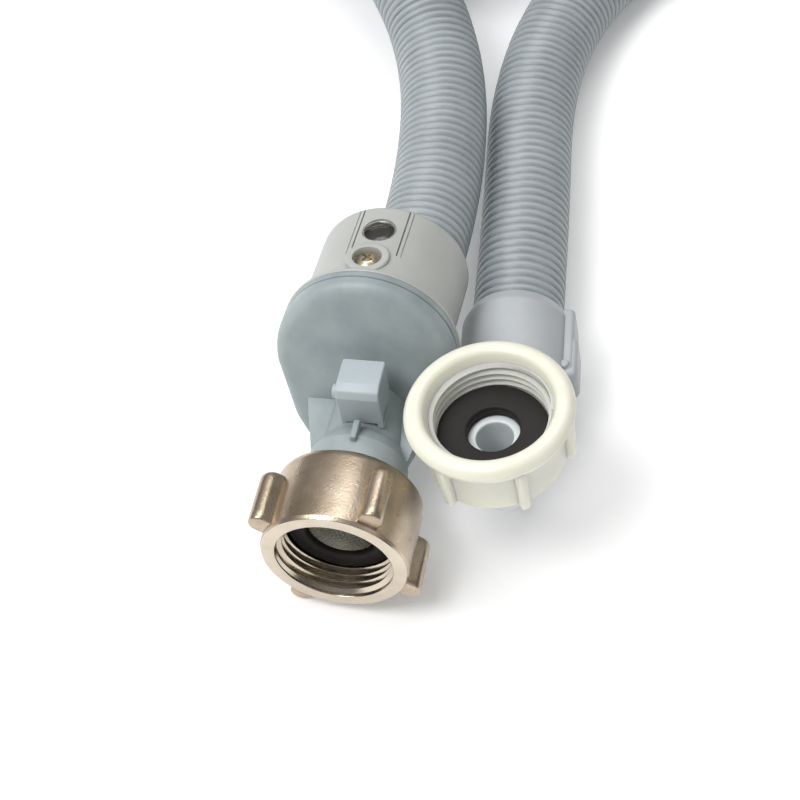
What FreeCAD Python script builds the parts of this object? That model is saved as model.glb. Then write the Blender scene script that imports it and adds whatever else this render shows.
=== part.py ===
import FreeCAD, Part
import Sketcher
import math
import os
import re

from FreeCAD import Placement, Rotation, Vector

# A safety inlet hose for a washing machine or dishwasher. A metal coupling nut screws to the tap, and a leak-stop
# valve sits behind it. A corrugated sheath runs over the pressure hose to a 90 degree elbow with a plastic nut.
#
# Three working frames are used, and each sub-part is placed from one of them:
#   tap end    origin at the middle of the metal nut's front face, +Y back along the nut's axis
#   casing     origin at the middle of the round top of the casing, +Y back along the casing's own axis
#   elbow      origin where the hose axis and the outlet axis cross, +Y back along the hose, +Z out of the outlet

AXIS = {"X": Vector(1, 0, 0), "Y": Vector(0, 1, 0), "Z": Vector(0, 0, 1)}

doc = FreeCAD.newDocument("leak_stop_hose")

# ------------------------------------------------------------------ driving dimensions, in millimetres and degrees

SIZES = [
    ("thread_bore", 12.06, "minor radius of a 3/4 inch parallel pipe thread in a nut"),
    ("thread_mouth", 13.2, "radius of the lead-in at the nut's mouth"),
    ("nut_radius", 16.35, "metal nut, outside"),
    ("nut_length", 19.7, "metal nut, front to back"),
    ("nut_floor", 16.9, "metal nut, front face to the inside of its back lip"),
    ("lobe_radius", 2.5, "metal nut, half-round grip lobes"),
    ("lobe_centre", 18.2, "metal nut, lobe centre to axis"),
    ("lobe_front", 1.2, "metal nut, front end of the lobes"),
    ("lobe_back", 14.9, "metal nut, back end of the lobes"),
    ("tail_radius", 9.4, "tail piece that carries the metal nut"),
    ("tail_flange", 11.8, "tail piece flange, which the nut pulls on"),
    ("tail_front", 10.0, "tail piece, front face"),
    ("tail_spigot", 6.9, "tail piece, thin end inside the neck"),
    ("water_bore", 5.2, "water way through the tail piece and neck"),
    ("filter_radius", 7.3, "woven filter disc"),
    ("collar_radius", 11.1, "front collar of the neck"),
    ("collar_back", 27.0, "back end of the front collar"),
    ("neck_radius", 9.0, "neck between the collar and the casing"),
    ("neck_front", 20.0, "front end of the neck"),
    ("casing_side", -1.0, "metal nut's axis to the casing's frame, sideways"),
    ("casing_top_back", 47.5, "metal nut's front face to the casing's frame"),
    ("casing_rise", 13.0, "nut axis up to the casing's frame"),
    ("cover_radius", 20.3, "front cover, radius of its round top"),
    ("cover_wall", 2.2, "moulded wall of cover and casing"),
    ("seam", 4.6, "joint between front cover and rear casing"),
    ("drum_radius", 17.5, "rear casing, outside"),
    ("drum_back", 31.0, "rear casing, back face"),
    ("window_back", 22.4, "sight window, along the casing"),
    ("window_radius", 4.0, "sight window, hole"),
    ("screw_back", 12.6, "casing screw, along the casing"),
    ("exit_side", 4.5, "hose outlet, to the right of the casing's axis"),
    ("cartridge_radius", 8.5, "pressure body inside the casing"),
    ("cartridge_bore", 6.3, "pressure body, chamber in front of the seat"),
    ("seat_bore", 4.2, "valve seat, hole"),
    ("closing_travel", 2.5, "poppet, open to shut"),
    ("barb_radius", 5.4, "hose barbs"),
    ("hose_radius", 10.9, "corrugated sheath, outside"),
    ("inner_hose_radius", 7.8, "pressure hose inside the sheath, outside"),
    ("inner_hose_bore", 5.5, "pressure hose, bore"),
    ("cuff_radius", 13.0, "moulded cuff at the elbow"),
    ("cuff_front", 19.0, "cuff, outlet axis to its front end"),
    ("cuff_back", 50.0, "cuff, outlet axis to its back end"),
    ("elbow_arm", 8.4, "elbow, outside of the arm in the cuff"),
    ("elbow_neck", 7.5, "elbow, outside of the upright arm"),
    ("elbow_bore", 4.3, "elbow, water way"),
    ("outlet_height", 32.7, "hose axis up to the plastic nut's mouth"),
    ("outlet_seat", 20.5, "hose axis up to the washer seat"),
    ("outlet_flange", 18.5, "plastic nut, rounded flange at its mouth"),
    ("outlet_body", 15.5, "plastic nut, body"),
    ("outlet_length", 16.5, "plastic nut, mouth to back"),
    ("wing_radius", 17.9, "plastic nut, outside of its grip wings"),
    ("ring_radius", 109.0, "stored coil, middle of its turns"),
    ("layer_rise", 22.2, "stored coil, one turn lying on the other"),
]

sheet = doc.addObject("Spreadsheet::Sheet", "Sizes")
for line, (alias, number, note) in enumerate(SIZES, 1):
    sheet.set(f"A{line}", note)
    sheet.set(f"B{line}", str(number))
    sheet.setAlias(f"B{line}", alias)
doc.recompute()

# ------------------------------------------------------------------------------------------ small modelling helpers


def bound(words):
    """Turns sheet words, such as 'nut_length - 2', into a FreeCAD expression."""
    return re.sub(r"[a-z_]{3,}", lambda found: "Sizes." + found.group(), str(words))


def size(words):
    """The present value of an expression of sheet words."""
    return float(sheet.evalExpression(bound(words)))


def bind(thing, **properties):
    """Binds properties to the sheet. A double underscore stands for a dot: Placement__Base__x."""
    for name, words in properties.items():
        thing.setExpression(name.replace("__", "."), bound(words))


def closed_outline(sketch, points):
    """Draws a closed polygon whose corners are tied to the sheet."""
    spots = [Vector(size(a), size(b), 0) for a, b in points]
    for here, there in zip(spots, spots[1:] + spots[:1]):
        sketch.addGeometry(Part.LineSegment(here, there), False)
    last = len(spots)
    for edge in range(last):
        sketch.addConstraint(joined_corners(edge, (edge + 1) % last))
    for edge, (across, along) in enumerate(points):
        for kind, words, value in (("DistanceX", across, spots[edge].x), ("DistanceY", along, spots[edge].y)):
            number = sketch.addConstraint(Sketcher.Constraint(kind, edge, 1, value))
            sketch.setExpression(f"Constraints[{number}]", bound(words))


def joined_corners(edge, following):
    return Sketcher.Constraint("Coincident", edge, 2, following, 1)


def plane_of(body, role):
    return next(part for part in body.Origin.OriginFeatures if part.Role == role)


def turned(name, profile):
    """A body turned about its own Y axis. The profile is a list of (radius, distance along Y)."""
    body = doc.addObject("PartDesign::Body", name)
    sketch = body.newObject("Sketcher::SketchObject", name + "_profile")
    sketch.AttachmentSupport = [(plane_of(body, "XY_Plane"), "")]
    sketch.MapMode = "FlatFace"
    closed_outline(sketch, profile)
    revolution = body.newObject("PartDesign::Revolution", name + "_turn")
    revolution.Profile = sketch
    revolution.ReferenceAxis = (sketch, ["V_Axis"])
    revolution.Angle = 360
    body.Tip = revolution
    return body


def rod(name, radius, start, end, across=0, up=0, along="Y"):
    """A cylinder. start and end lie along its axis; across and up place the axis."""
    cylinder = doc.addObject("Part::Cylinder", name)
    turn = {"Y": Rotation(AXIS["X"], -90), "Z": Rotation(), "X": Rotation(AXIS["Y"], 90)}[along]
    cylinder.Placement = Placement(Vector(), turn)
    spot = {"Y": (across, start, up), "Z": (across, up, start), "X": (start, across, up)}[along]
    bind(cylinder, Radius=radius, Height=f"({end}) - ({start})")
    stand_at(cylinder, spot)
    return cylinder


def stand_at(thing, spot):
    """Ties a primitive's position to the sheet."""
    thing.Placement = Placement(Vector(*[size(words) for words in spot]), thing.Placement.Rotation)
    for corner, words in zip("xyz", spot):
        bind(thing, **{f"Placement__Base__{corner}": words})


def carry(thing, frame):
    """Moves something into another frame. Its position is then set by the frame and no longer by the sheet."""
    for path, _ in list(thing.ExpressionEngine):
        if "Placement" in path:
            thing.setExpression(path, None)
    thing.Placement = frame.multiply(thing.Placement)
    return thing


def block(name, low, high):
    box = doc.addObject("Part::Box", name)
    for side, start, end in zip(("Length", "Width", "Height"), low, high):
        bind(box, **{side: f"({end}) - ({start})"})
    stand_at(box, low)
    return box


def slab(name, outline, start, depth, turn):
    """A flat plate: an outline drawn in a turned XY plane, then pushed out along that plane's normal."""
    sketch = doc.addObject("Sketcher::SketchObject", name + "_outline")
    closed_outline(sketch, outline)
    sketch.Placement = Placement(turn.multVec(Vector(0, 0, size(start))), turn)
    push = doc.addObject("Part::Extrusion", name)
    push.Base = sketch
    push.DirMode = "Normal"
    push.Solid = True
    bind(push, LengthFwd=depth)
    return push


def cut(name, base, *tools):
    for number, tool in enumerate(tools):
        step = doc.addObject("Part::Cut", name if number == len(tools) - 1 else f"{name}_cut_{number}")
        step.Base = base
        step.Tool = tool
        base = step
    return base


def fuse(name, *shapes):
    joined = doc.addObject("Part::MultiFuse", name)
    joined.Shapes = list(shapes)
    joined.Refine = True
    return joined


def common(name, base, tool):
    both = doc.addObject("Part::Common", name)
    both.Base = base
    both.Tool = tool
    return both


def spring(name, radius, wire, length, turns):
    """A coil spring standing on the XY plane, swept along a helix."""
    path = doc.addObject("Part::Helix", name + "_path")
    bind(path, Radius=radius, Height=length, Pitch=f"({length}) / {turns}")
    section = doc.addObject("Part::Circle", name + "_section")
    bind(section, Radius=wire)
    section.Placement = Placement(Vector(size(radius), 0, 0), Rotation(AXIS["X"], 90))
    sweep = doc.addObject("Part::Sweep", name)
    sweep.Sections = [section]
    sweep.Spine = (path, ["Edge1"])
    sweep.Solid = True
    sweep.Frenet = True
    return sweep


# ---------------------------------------------------------------------------------------------------- the frames

ORIGIN_SIDE, ORIGIN_BACK, NUT_HEIGHT = 1.6, -40.3, 18.84
VALVE_ROLL, CASING_PITCH = -6.9, -7.7
CASING_PLACE = ("casing_side", "casing_top_back", "casing_rise")
ELBOW_SPOT = Vector(34.4, -11.4, 13.2)
ELBOW_HEADING, ELBOW_LEAN = 6.3, -8.9

nut_frame = Placement(Vector(ORIGIN_SIDE, ORIGIN_BACK, NUT_HEIGHT), Rotation())
valve_frame = nut_frame.multiply(Placement(Vector(), Rotation(AXIS["Y"], VALVE_ROLL)))
casing_frame = valve_frame.multiply(
    Placement(Vector(*(size(name) for name in CASING_PLACE)), Rotation(AXIS["X"], CASING_PITCH))
)
elbow_frame = Placement(ELBOW_SPOT, Rotation(AXIS["Z"], ELBOW_HEADING)).multiply(
    Placement(Vector(), Rotation(AXIS["Y"], ELBOW_LEAN))
)

nodes = []


def finished(thing, label, frame=Placement()):
    """Names a sub-part, puts it in its place and lists it for export."""
    thing.Label = label
    carry(thing, frame)
    nodes.append(thing)


XZ = Rotation(AXIS["X"], 90)  # a sketch whose X is across, Y is up and whose normal looks forward, along -Y
YZ = Rotation(Vector(1, 1, 1), 120)  # a sketch whose X is back, Y is up and whose normal looks to +X

# ------------------------------------------------------------------------------------------- tap end: nut and tail


def inlet_nut():
    turning = turned(
        "nut_turning",
        [
            ("thread_mouth", 0),
            ("nut_radius - 0.8", 0),
            ("nut_radius", 0.8),
            ("nut_radius", "nut_length - 2.6"),
            ("nut_radius - 1", "nut_length - 0.8"),
            ("nut_radius - 2.8", "nut_length"),
            ("tail_radius + 0.1", "nut_length"),
            ("tail_radius + 0.1", "nut_floor"),
            ("thread_bore + 0.6", "nut_floor"),
            ("thread_bore + 0.6", "tail_front - 3.2"),
            ("thread_bore", "tail_front - 3.2"),
            ("thread_bore", 1.2),
        ],
    )
    first_lobe = 63.5
    lobes = []
    for quarter in range(4):
        angle = math.radians(first_lobe + 90 * quarter)
        across, up = math.cos(angle), math.sin(angle)
        lobes.append(
            rod(
                f"nut_lobe_{quarter}",
                "lobe_radius",
                "lobe_front",
                "lobe_back",
                f"lobe_centre * ({across:.6f})",
                f"lobe_centre * ({up:.6f})",
            )
        )
    finished(fuse("nut_solid", turning, *lobes), "inlet_nut", nut_frame)


def tail_piece():
    piece = turned(
        "tail",
        [
            ("filter_radius + 0.9", "tail_front"),
            ("tail_flange", "tail_front"),
            ("tail_flange", "nut_floor - 0.2"),
            ("tail_radius", "nut_floor - 0.2"),
            ("tail_radius", 26),
            ("tail_spigot", 26),
            ("tail_spigot", 29),
            ("tail_spigot - 0.9", 29),
            ("tail_spigot - 0.9", 31),
            ("tail_spigot", 31),
            ("tail_spigot", 34),
            ("water_bore", 34),
            ("water_bore", "tail_front + 3.5"),
            ("filter_radius + 0.9", "tail_front + 3.5"),
        ],
    )
    finished(piece, "inlet_tailpiece", nut_frame)
    ring = doc.addObject("Part::Torus", "tail_ring")
    bind(ring, Radius1="tail_spigot - 0.45", Radius2=0.4)
    ring.Placement = Placement(Vector(0, 30, 0), Rotation(AXIS["X"], 90))
    finished(ring, "tailpiece_o_ring", nut_frame)


def inlet_washer():
    washer = turned(
        "washer",
        [
            ("filter_radius + 0.9", "tail_front - 2.8"),
            ("tail_flange", "tail_front - 2.8"),
            ("tail_flange", "tail_front"),
            ("filter_radius + 0.9", "tail_front"),
        ],
    )
    finished(washer, "inlet_washer", nut_frame)


def inlet_filter():
    rim = turned(
        "filter_rim",
        [
            ("filter_radius", "tail_front - 2.4"),
            ("filter_radius + 0.8", "tail_front - 2.4"),
            ("filter_radius + 0.8", "tail_front + 3.4"),
            ("filter_radius", "tail_front + 3.4"),
        ],
    )
    finished(rim, "filter_rim", nut_frame)
    finished(rod("filter_disc", "filter_radius", "tail_front - 1.6", "tail_front - 1.1"), "filter_screen", nut_frame)


# --------------------------------------------------------------------------------------- front cover and its lever

COVER_OUTLINE = [(-15.0, -20.5), (-9.5, -24.4), (9.5, -24.4), (15.0, -20.5), (17.4, -15.5), (20.1, -2.6)]


def egg(name, inset, back, front):
    """A prism with the casing's outline: a round top and sides that draw in towards the foot."""
    prism = doc.addObject("Part::Feature", name)
    radius = size("cover_radius")
    shrink = 1 - inset / radius
    foot = [Vector(x * shrink, 0, z * shrink) for x, z in COVER_OUTLINE]
    left = Vector(-foot[-1].x, 0, foot[-1].z)
    edges = [Part.makeLine(a, b) for a, b in zip(foot, foot[1:])]
    edges.append(Part.Arc(foot[-1], Vector(0, 0, radius - inset), left).toShape())
    edges.append(Part.makeLine(left, Vector(-foot[-2].x, 0, foot[-2].z)))
    edges.append(Part.makeLine(edges[-1].Vertexes[-1].Point, foot[0]))
    solid = Part.Face(Part.Wire(edges)).extrude(Vector(0, back - front, 0))
    solid.translate(Vector(0, front, 0))
    prism.Shape = solid
    return prism


def in_casing(thing):
    """Carries a piece drawn in the casing's frame over to the tap end's frame, where the neck is drawn."""
    shift = Placement(Vector(*(size(name) for name in CASING_PLACE)), Rotation(AXIS["X"], CASING_PITCH))
    return carry(thing, shift)


def front_cover():
    seam, wall = size("seam"), size("cover_wall")
    face_lean = 9.6  # the flat face leans back a little more than the casing's own axis does
    face_middle = -4.2

    def behind_face(name, offset):
        side = 80
        keep = block(name, (-side / 2, 0, -side / 2), (side / 2, side / 2, side / 2))
        return carry(keep, Placement(Vector(0, face_middle + offset, 0), Rotation(AXIS["X"], -face_lean)))

    outside = common("cover_outside", egg("cover_prism", 0, seam, -12), behind_face("face_plane", 0))
    inside = common("cover_inside", egg("cover_core", wall, seam + 1, -12), behind_face("inner_plane", wall))
    shell = cut("cover_shell", outside, inside)
    spigot = rod("cover_spigot", "drum_radius - cover_wall - 0.1", "seam - 7", 17)
    hollow = rod("cover_spigot_bore", "drum_radius - 2 * cover_wall", "seam - 8", 18)
    screw_hole = rod("cover_screw_hole", 1.5, 10, 20, 0, "screw_back", "Z")
    ring = cut("cover_ring", spigot, hollow, screw_hole)
    shell_in_place = in_casing(fuse("cover_moulding", shell, ring))

    collar = rod("neck_collar", "collar_radius", "neck_front", "collar_back")
    neck = rod("neck_tube", "neck_radius", "neck_front", 43)
    shoulder = turned("neck_shoulder", [(0, "collar_back"), ("collar_radius", "collar_back"), ("neck_radius", 30), (0, 30)])
    rib = block("neck_rib", (-0.7, "collar_back - 2", "neck_radius - 1"), (0.7, 29.2, "neck_radius + 3.2"))
    web_outline = [(-11.6, 24), (11.6, 24), (12.2, 31), (15.2, 41.5), (15.2, 42.6), (-15.2, 42.6), (-15.2, 41.5), (-12.2, 31)]
    webs = slab("neck_webs", web_outline, -0.4, 2.4, Rotation())
    outer = fuse("neck_outer", collar, neck, shoulder, rib, webs)
    bores = fuse(
        "neck_bores",
        rod("bore_collar", "tail_radius", "neck_front - 1", 26),
        rod("bore_spigot", "tail_spigot", 25, 34.3),
        rod("bore_water", "water_bore", 34, 48),
    )
    whole = cut("cover_solid", fuse("cover_and_neck", shell_in_place, outer), bores)
    finished(whole, "front_cover", valve_frame)


LEVER_PIVOT = (34.0, 16.0)  # back and up, in the tap end's frame
LEVER_HALF_WIDTH = 4.8
LEVER_SIDE = 1.0  # the lever sits a little to the right of the neck's middle


def lock_lever():
    back, up = LEVER_PIVOT
    side_profile = [(30.8, 7.4), (30.5, 17.6), (31.5, 19.3), (33.2, 20.2), (40.3, 20.0), (39.2, 11.8)]
    width = 2 * LEVER_HALF_WIDTH
    blank = slab("lever_blank", side_profile, LEVER_SIDE - LEVER_HALF_WIDTH, width, YZ)
    saddle = rod("lever_saddle", "neck_radius + 0.5", 20, 45)
    pin_hole = rod("lever_pin_hole", 1.75, -8, 8, back, up, "X")
    pocket = rod("lever_spring_pocket", 1.7, 8, 15, 0, 37.4, "Z")
    finished(cut("lever_solid", blank, saddle, pin_hole, pocket), "lock_lever", valve_frame)
    pin = rod("lever_pin_rod", 1.7, LEVER_SIDE - LEVER_HALF_WIDTH - 1.4, LEVER_SIDE + LEVER_HALF_WIDTH, back, up, "X")
    finished(pin, "lever_pin", valve_frame)
    coil = spring("lever_coil", 1.2, 0.2, 5.0, 5)
    coil.Placement = Placement(Vector(0, 37.4, size("neck_radius") + 0.4), Rotation())
    finished(coil, "lever_spring", valve_frame)


# ----------------------------------------------------------------------------------- rear casing, window and screw


def rear_casing():
    seam, wall = size("seam"), size("cover_wall")
    flange = egg("casing_flange", 0, seam + 3.2, seam)
    drum = rod("casing_drum", "drum_radius", "seam", "drum_back")
    boss = rod("casing_boss", 4.6, 12, "drum_radius + 0.5", 0, "screw_back", "Z")
    outside = fuse("casing_outside", flange, drum, boss)
    tools = [
        rod("casing_bore", "drum_radius - cover_wall", "seam - 1", "drum_back - cover_wall"),
        rod("casing_exit", 8.9, "drum_back - 4", "drum_back + 1", "exit_side"),
        rod("casing_window", "window_radius", 13, 20, 0, "window_back", "Z"),
        rod("casing_screw_seat", 3.2, "drum_radius - 1.2", 20, 0, "screw_back", "Z"),
        rod("casing_screw_way", 1.5, 12, 20, 0, "screw_back", "Z"),
    ]
    finished(cut("casing_solid", outside, *tools), "rear_casing", casing_frame)
    lens = rod("lens_disc", "window_radius - 0.05", "drum_radius - 2", "drum_radius - 0.6", 0, "window_back", "Z")
    finished(lens, "sight_window", casing_frame)
    head = rod("screw_head", 2.9, "drum_radius - 1.15", "drum_radius + 0.2", 0, "screw_back", "Z")
    shank = rod("screw_shank", 1.4, "drum_radius - 4.2", "drum_radius - 1.15", 0, "screw_back", "Z")
    finished(fuse("screw_solid", head, shank), "casing_screw", casing_frame)


# ------------------------------------------------------------------------------------------- the leak-stop inside

TABLET_SIDE, TABLET_DOWN = -9.2, -1.0


def leak_stop():
    side = "exit_side"
    pressure_body = fuse(
        "cartridge_outside",
        rod("cartridge_tube", "cartridge_radius", 0.4, 24, side),
        rod("cartridge_barb", "barb_radius", 24, "drum_back - 0.2", side),
        rod("cartridge_duct", 3.9, -11.8, 0, 1.5, 3.5, "Z"),
    )
    body = cut(
        "cartridge_solid",
        pressure_body,
        rod("cartridge_chamber", "cartridge_bore", 1.8, 15, side),
        rod("cartridge_seat", "seat_bore", 14, 18, side),
        rod("cartridge_outlet", "seat_bore - 0.2", 17, "drum_back", side),
        rod("cartridge_inlet", 2.8, -12.5, 0, 1.5, 3.5, "Z"),
    )
    finished(body, "valve_body", casing_frame)

    poppet = fuse(
        "poppet_solid",
        rod("poppet_disc", "seat_bore + 1.2", 9.4, 11.4, side),
        rod("poppet_stem", 1.3, 11.4, 20, side),
        rod("poppet_nose", 1.8, 6.4, 9.4, side),
    )
    finished(poppet, "poppet", casing_frame)
    seal = turned("seal_ring", [(1.4, 11.4), ("seat_bore + 1.1", 11.4), ("seat_bore + 1.1", 12.4), (1.4, 12.4)])
    seal.Placement = Placement(Vector(size(side), 0, 0), Rotation())
    finished(seal, "poppet_seal", casing_frame)
    closing = spring("closing_coil", 3.2, 0.4, 6.6, 5)
    closing.Placement = Placement(Vector(size(side), 2.3, 0), Rotation(AXIS["X"], -90))
    finished(closing, "closing_spring", casing_frame)

    holder_outside = rod("holder_tube", 3.7, 7, 15, TABLET_SIDE, TABLET_DOWN)
    holder_inside = rod("holder_bore", 3.1, 8, 16, TABLET_SIDE, TABLET_DOWN)
    finished(cut("holder_solid", holder_outside, holder_inside), "tablet_holder", casing_frame)
    finished(rod("tablet_disc", 3.0, 8.1, 12.6, TABLET_SIDE, TABLET_DOWN), "swelling_tablet", casing_frame)
    trigger = fuse(
        "trigger_solid",
        rod("trigger_foot", 2.9, 12.8, 13.8, TABLET_SIDE, TABLET_DOWN),
        rod("trigger_rod", 1.2, 13.8, 24, TABLET_SIDE, TABLET_DOWN),
    )
    finished(trigger, "trigger_pin", casing_frame)
    finished(block("flag_plate", (-3.6, 8.6, 10.9), (3.6, 17.0, 12.1)), "indicator_flag", casing_frame)


def sheath_ends():
    """The pressure hose's end and its crimped ferrule inside the casing."""
    side = "exit_side"
    hose_end = cut(
        "valve_hose_end",
        rod("valve_hose_outside", "inner_hose_radius", 25, "drum_back - 0.2", side),
        rod("valve_hose_inside", "inner_hose_bore", 24, 32, side),
    )
    finished(hose_end, "inner_hose_valve_end", casing_frame)
    ferrule = cut(
        "valve_ferrule_solid",
        rod("valve_ferrule_outside", "inner_hose_radius + 0.8", 25.6, 30.4, side),
        rod("valve_ferrule_inside", "inner_hose_radius + 0.1", 25, 31, side),
    )
    finished(ferrule, "valve_end_ferrule", casing_frame)


# ------------------------------------------------------------------------------------------------- the outlet elbow


def elbow_body():
    outside = fuse(
        "elbow_outside",
        rod("elbow_arm_rod", "elbow_arm", 0, "cuff_front + 3.5"),
        rod("elbow_barb_rod", "barb_radius", "cuff_front + 3.5", 40),
        rod("elbow_upright", "elbow_neck", -2, "outlet_seat - 2", 0, 0, "Z"),
        rod("elbow_flange", "thread_bore - 0.4", "outlet_seat - 2.4", "outlet_seat", 0, 0, "Z"),
        ball("elbow_knuckle", "elbow_arm"),
    )
    body = cut(
        "elbow_solid",
        outside,
        rod("elbow_bore_back", "elbow_bore", 0, 41),
        rod("elbow_bore_up", "elbow_bore", 0, "outlet_seat + 1", 0, 0, "Z"),
    )
    finished(body, "elbow_body", elbow_frame)


def ball(name, radius):
    sphere = doc.addObject("Part::Sphere", name)
    bind(sphere, Radius=radius)
    return sphere


def elbow_cuff():
    moulding = turned(
        "cuff_moulding",
        [
            ("elbow_arm + 0.05", "cuff_front"),
            ("cuff_radius - 0.6", "cuff_front"),
            ("cuff_radius", "cuff_front + 0.6"),
            ("cuff_radius - 0.2", "cuff_back - 2.2"),
            ("hose_radius + 0.5", "cuff_back"),
            ("hose_radius - 0.7", "cuff_back"),
            ("hose_radius - 0.7", "cuff_back - 2"),
            ("hose_radius + 0.3", "cuff_back - 2"),
            ("hose_radius + 0.3", "cuff_front + 4"),
            ("elbow_arm + 0.05", "cuff_front + 4"),
        ],
    )
    latch = block("cuff_latch", (12, "cuff_back - 21", -4.8), (15.4, "cuff_back - 9", 4.8))
    rib = block("cuff_rib", (12, "cuff_back - 9.5", -5.2), (14.4, "cuff_back - 1", 5.2))
    finished(fuse("cuff_solid", moulding, latch, rib), "elbow_cuff", elbow_frame)
    hose_end = cut(
        "elbow_hose_end",
        rod("elbow_hose_outside", "inner_hose_radius", "cuff_front + 4.5", "cuff_back - 2.2"),
        rod("elbow_hose_inside", "inner_hose_bore", "cuff_front + 4", "cuff_back"),
    )
    finished(hose_end, "inner_hose_elbow_end", elbow_frame)
    ferrule = cut(
        "elbow_ferrule_solid",
        rod("elbow_ferrule_outside", "inner_hose_radius + 0.8", "cuff_front + 6", "cuff_front + 17"),
        rod("elbow_ferrule_inside", "inner_hose_radius + 0.1", "cuff_front + 5", "cuff_front + 18"),
    )
    finished(ferrule, "elbow_end_ferrule", elbow_frame)


def outlet_nut():
    """Turned about Y with its mouth at 0, then stood up so that its mouth looks along +Z."""
    depth = "outlet_height - outlet_seat"
    turning = turned(
        "outlet_turning",
        [
            ("thread_mouth", 0),
            ("outlet_flange - 1.2", 0),
            ("outlet_flange", 1.4),
            ("outlet_flange", 3.2),
            ("outlet_flange - 1.2", 4.4),
            ("outlet_body", 4.6),
            ("outlet_body", "outlet_length - 0.8"),
            ("outlet_body - 0.8", "outlet_length"),
            ("elbow_neck + 0.1", "outlet_length"),
            ("elbow_neck + 0.1", f"{depth} + 2.5"),
            ("thread_bore + 0.6", f"{depth} + 2.5"),
            ("thread_bore + 0.6", 6.2),
            ("thread_bore", 6.2),
            ("thread_bore", 1.2),
        ],
    )
    wings = []
    for sixth in range(6):
        wing = block(f"outlet_wing_{sixth}", (14, 4, -1.3), ("wing_radius", "outlet_length", 1.3))
        wings.append(carry(wing, Placement(Vector(), Rotation(AXIS["Y"], 5 + 60 * sixth))))
    nut = fuse("outlet_nut_solid", turning, *wings)
    nut.Placement = Placement(Vector(0, 0, size("outlet_height")), Rotation(AXIS["X"], -90))
    finished(nut, "outlet_nut", elbow_frame)
    washer = cut(
        "outlet_washer_solid",
        rod("outlet_washer_outside", "thread_bore - 0.15", "outlet_seat", "outlet_seat + 3.3", 0, 0, "Z"),
        rod("outlet_washer_inside", 5.6, "outlet_seat - 1", "outlet_seat + 4", 0, 0, "Z"),
    )
    finished(washer, "outlet_washer", elbow_frame)


# --------------------------------------------------------------------------------------------------------- the hose

# The two strands beside each other, from the fittings to the stored coil, as points of the sheath's middle line.
VALVE_STRAND = [
    (4.0, 37.9, 28.1),
    (4.9, 63.7, 24.6),
    (-2.0, 112.2, 22.2),
    (-21.2, 147.4, 26.5),
    (-49.5, 175.0, 32.0),
    (-67.4, 183.7, 33.2),
]
OUTLET_STRAND = [
    (28.91, 38.3, 13.2),
    (25.63, 71.4, 12.0),
    (19.5, 119.9, 11.0),
    (25.1, 157.2, 11.0),
    (42.8, 190.7, 11.0),
    (56.4, 203.9, 11.0),
]
COIL_MIDDLE = Vector(-19.9, 281.8, 0)
ARC_SHARE = 0.45  # each bend takes this share of the shorter of its two runs


def hose_tube(label, route):
    """A round solid along straight runs joined by tangent arcs. Prints its bend radii and checks its volume."""
    points = [Vector(*point) for point in route]
    edges, radii, start = [], [], points[0]
    for before, corner, after in zip(points, points[1:], points[2:]):
        come, leave = (corner - before).normalize(), (after - corner).normalize()
        run = min(corner.distanceToPoint(before), corner.distanceToPoint(after))
        reach = ARC_SHARE * run
        entry, exit_point = corner - come * reach, corner + leave * reach
        half_turn = come.getAngle(leave) / 2
        radius = reach / math.tan(half_turn)
        inward = (leave - come).normalize()
        middle = corner + inward * (radius / math.cos(half_turn) - radius)
        edges += [Part.makeLine(start, entry), Part.Arc(entry, middle, exit_point).toShape()]
        radii.append(round(radius))
        start = exit_point
    edges.append(Part.makeLine(start, points[-1]))
    path = Part.Wire(edges)
    radius = size("hose_radius")
    section = Part.Wire(Part.makeCircle(radius, points[0], points[1] - points[0]))
    solid = path.makePipeShell([section], True, False)
    expected = math.pi * radius**2 * path.Length
    print(label, "bend radii", radii, "length", round(path.Length), "volume share", round(solid.Volume / expected, 4))
    tube = doc.addObject("Part::Feature", label)
    tube.Shape = solid
    finished(tube, label)


def hose_coil():
    """The outer shape of the stored turns, one lying on the other."""
    low, high = "0.03", "2 * hose_radius + layer_rise"
    inner, outer = "ring_radius - hose_radius", "ring_radius + hose_radius"
    ring = turned(
        "coil_ring",
        [
            (f"{inner} + 5", low),
            (f"{outer} - 5", low),
            (outer, f"{low} + 5"),
            (outer, f"{high} - 5"),
            (f"{outer} - 5", high),
            (f"{inner} + 5", high),
            (inner, f"{high} - 5"),
            (inner, f"{low} + 5"),
        ],
    )
    ring.Placement = Placement(COIL_MIDDLE, Rotation(AXIS["X"], 90))
    finished(ring, "hose_coil")


inlet_nut()
tail_piece()
inlet_washer()
inlet_filter()
front_cover()
lock_lever()
rear_casing()
leak_stop()
sheath_ends()
elbow_body()
elbow_cuff()
outlet_nut()
hose_tube("hose_valve_run", VALVE_STRAND)
hose_tube("hose_outlet_run", OUTLET_STRAND)
hose_coil()
doc.recompute()

# ------------------------------------------------------------------------------------------------ checks and export

failed = [thing.Name for thing in doc.Objects if {"Invalid", "Error"} & set(thing.State)]
if failed:
    raise SystemExit(f"failed objects: {failed}")
for node in nodes:
    if node.Shape.isNull() or not node.Shape.isValid() or not node.Shape.Solids:
        raise SystemExit(f"{node.Label} has no valid solid")

os.makedirs("parts", exist_ok=True)
for node in nodes:
    node.Shape.exportStep(f"parts/{node.Label}.step")
    print(node.Label, len(node.Shape.Solids), "solid", round(node.Shape.Volume), "mm3")
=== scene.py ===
# %% [markdown]
# # A safety inlet hose, built piece by piece
# The object is an appliance hose: a nickel plated nut for the tap, a leak-stop valve in a grey casing, a
# corrugated sheath, and a right-angle elbow with a white nut. The solid model is loaded first. It fixes
# every place and size, and each visible piece is built in the same frame. Pieces are drawn in millimetres
# and placed in metres.

# %% Load the solid model
import math

import bmesh
import bpy
from mathutils import Matrix, Vector


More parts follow.
